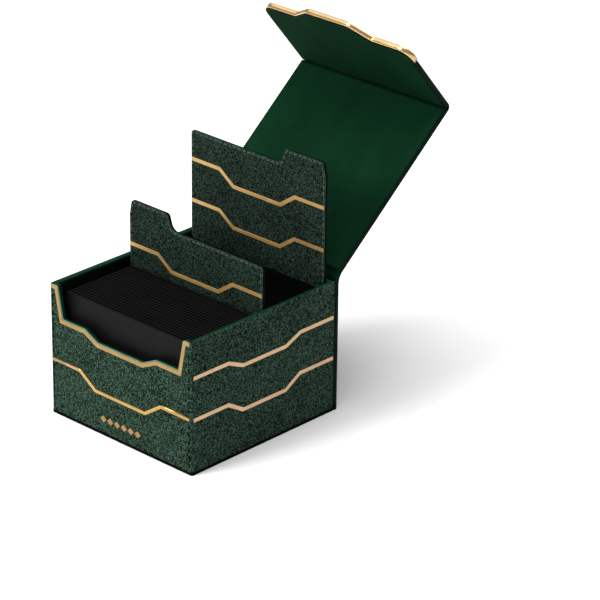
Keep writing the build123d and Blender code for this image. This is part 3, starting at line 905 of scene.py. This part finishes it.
# ---------------------------------------------------------------- dividers and cards
def divider(name, tab_side):
    """A divider's two halves of cloth, stitched round the edge, at the height they stand at."""
    low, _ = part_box(f"{name}_divider_board")
    lift = low.z / MM - DIVIDER_BOARD_INSET - DIVIDER_LOW
    y_front = low.y / MM - DIVIDER_SLEEVE
    points = [
        (DIVIDER_HALF, DIVIDER_LOW), (DIVIDER_HALF, TAB_TOP - TAB_TAPER[1]),
        (DIVIDER_HALF - TAB_TAPER[0], TAB_TOP), (TAB_END_X, TAB_TOP), (TAB_FOOT_X, DIVIDER_TOP),
        (-DIVIDER_HALF, DIVIDER_TOP), (-DIVIDER_HALF, DIVIDER_LOW),
    ]
    outline = rounded([(tab_side * x, z) for x, z in points], [1.5, 8.0, 1.8, 2.5, 5.0, 1.5, 1.5])
    half = DIVIDER_THICKNESS / 2
    for face, toward in (("front", 1), ("back", -1)):
        surface = y_front if toward > 0 else y_front + DIVIDER_THICKNESS
        built = Builder()
        plate(
            built, outline, edge_profile(half, 0.25, 0.12),
            lambda x, z, d: (x, surface + toward * d, z + lift),
            woven_rings=4 if toward > 0 else 0, wear_and_highlight=0.5,
        )
        sleeve = built.object(f"{name}_divider_{face}_sleeve", [SLEEVE, BLACK_EDGE])
        keep(sleeve, f"{name}_divider", "woven_cloth", f"{name}_divider_{face}_cloth")

    inner = shifted([(tab_side * x, z) for x, z in points], tab_side)
    path = rounded(inner, [0, 7.0, 0.8, 1.5, 6.0, 0.6, 0], closed=False)
    built = Builder()
    for toward in (1, -1):
        surface = y_front if toward > 0 else y_front + DIVIDER_THICKNESS
        stitches(
            built, path, lambda x, z, d: (x, surface + toward * d, z + lift),
            length=2.2, pitch=3.4, radius=0.3,
        )
    keep(built.object(f"{name}_divider_stitches", [HIGHLIT_THREAD]), f"{name}_divider", "woven_cloth")


def deck(name, seed, edge):
    """A row of sleeved cards in packs, each with rounded corners, none quite level. Where two packs
    face each other their faces are painted near black, as the shade in the gaps between cards."""
    low, high = (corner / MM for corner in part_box(f"{name}_deck"))
    chance = random.Random(seed)
    count = int((high.y - low.y + CARD_PITCH - CARD_THICKNESS) / CARD_PITCH)
    built = Builder()
    for index in range(count):
        y = low.y + index * CARD_PITCH
        slide = chance.gauss(0, 0.05)
        lean = chance.gauss(0, 0.03)
        half, top = high.x - CARD_INSET, high.z - abs(chance.gauss(0, 0.07))
        left, right = slide - half, slide + half
        corners = [(left, low.z), (right, low.z), (right, top), (left, top)]
        outline = rounded(corners, [CARD_CORNER] * 4, steps=4)

        def place(x, z, depth):
            return (x, y + depth + lean * (z - low.z) / (top - low.z), z)

        front = 2 if index else 0
        back = 2 if index + 1 < count else 0
        profile = edge_profile(CARD_THICKNESS, 0.35, 0.35, 3)
        plate(built, outline, profile, place, slots=(front, 1, back), woven_rings=1)
    cards = built.object(f"{name}_cards", [CARD, edge, SHADED_CARD_GAP])
    keep(cards, f"{name}_deck", "card_black", f"{name}_deck")


# ---------------------------------------------------------------- finishes of the CAD nodes
def finish_nodes():
    """Finishes for the trims, boards and magnets that stay as they come."""
    finishes = {
        "board": GREYBOARD, "magnets": STEEL, "sheet": BASE,
        "upper_trim": FOIL, "lower_trim": FOIL, "ornament": SHADED_FRONT_FOIL,
    }
    exceptions = {
        "left_upper_trim": ROSE, "left_lower_trim": ROSE,
        "right_upper_trim": ROSE, "right_lower_trim": ROSE, "front_upper_trim": SHADED_FRONT_FOIL,
    }
    for name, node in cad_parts.items():
        for ending, material in finishes.items():
            if name.endswith(ending):
                node.data.materials.clear()
                node.data.materials.append(exceptions.get(name, material))
        if "trim" in name or "ornament" in name:
            weld = node.modifiers.new("weld", "WELD")
            weld.merge_threshold = 0.001 * MM
            bevel = node.modifiers.new("bevel", "BEVEL")
            bevel.width = 0.1 * MM
            bevel.segments = 2
            bevel.limit_method = "ANGLE"
            bevel.angle_limit = math.radians(40)
            bevel.harden_normals = False


# ---------------------------------------------------------------- camera, light and floor
CAMERA_PLACE = (1.0420, -1.0297, 0.7374)
CAMERA_ANGLES = (43.21, 24.71, 0.72)
CAMERA_LENS = 190.2


def camera():
    """A long lens in front, above and to the right of the box: azimuth, elevation and roll."""
    azimuth, elevation, roll = (math.radians(angle) for angle in CAMERA_ANGLES)
    right = Vector((math.cos(azimuth), math.sin(azimuth), 0))
    level = math.cos(elevation)
    look = Vector((-math.sin(azimuth) * level, math.cos(azimuth) * level, -math.sin(elevation)))
    up = right.cross(look)
    across = right * math.cos(roll) + up * math.sin(roll)
    above = -right * math.sin(roll) + up * math.cos(roll)
    data = bpy.data.cameras.new("camera")
    data.lens = CAMERA_LENS
    data.sensor_width = 36.0
    made = bpy.data.objects.new("camera", data)
    bpy.context.collection.objects.link(made)
    turn = Matrix((across, above, -look)).transposed()
    made.matrix_world = Matrix.Translation(CAMERA_PLACE) @ turn.to_4x4()
    bpy.context.scene.camera = made


def area_light(name, place, target, size, power):
    data = bpy.data.lights.new(name, "AREA")
    data.size = size
    data.energy = power
    made = bpy.data.objects.new(name, data)
    made.location = place
    made.rotation_euler = (Vector(target) - Vector(place)).to_track_quat("-Z", "Y").to_euler()
    bpy.context.collection.objects.link(made)


def studio():
    """A dim white room, three soft lights and a pale floor."""
    scene = bpy.context.scene
    scene.view_settings.view_transform = "Standard"
    world = bpy.data.worlds.new("studio")
    world.use_nodes = True
    background = world.node_tree.nodes["Background"]
    background.inputs["Color"].default_value = (1.0, 1.0, 1.0, 1.0)
    background.inputs["Strength"].default_value = 0.38
    scene.world = world

    area_light("key", (-0.55, -1.5, 1.1), (0, 0, 0.05), 0.8, 34.0)
    area_light("glint", (-0.98, -0.36, 1.35), (0, 0.1, 0.19), 1.2, 6.0)
    area_light("top", (0.0, 0.1, 1.9), (0, 0, 0.0), 1.6, 34.0)

    bpy.ops.mesh.primitive_plane_add(size=12.0, location=(0, 0, 0))
    floor = bpy.context.object
    floor.name = "studio_floor"
    paper = Shader("pale_floor", Roughness=0.9)
    cloudy = paper.noise(paper.solid(), 1.5, 2.0)
    paper.set(Base_Color=paper.ramp(cloudy, [(0.3, (0.88, 0.88, 0.88)), (0.7, (0.92, 0.92, 0.92))]))
    floor.data.materials.append(paper.material)


camera()
studio()
tray_wrap()
tray_linings()
tray_details()
back_panel()
fold()
lid()
flap()
flap_bend()
divider("front", -1)
divider("rear", 1)
deck("front", 11, CARD_EDGE)
# The rear deck takes the darker card edges: painted shade.
deck("rear", 12, SHADED_CARD_EDGE)
finish_nodes()
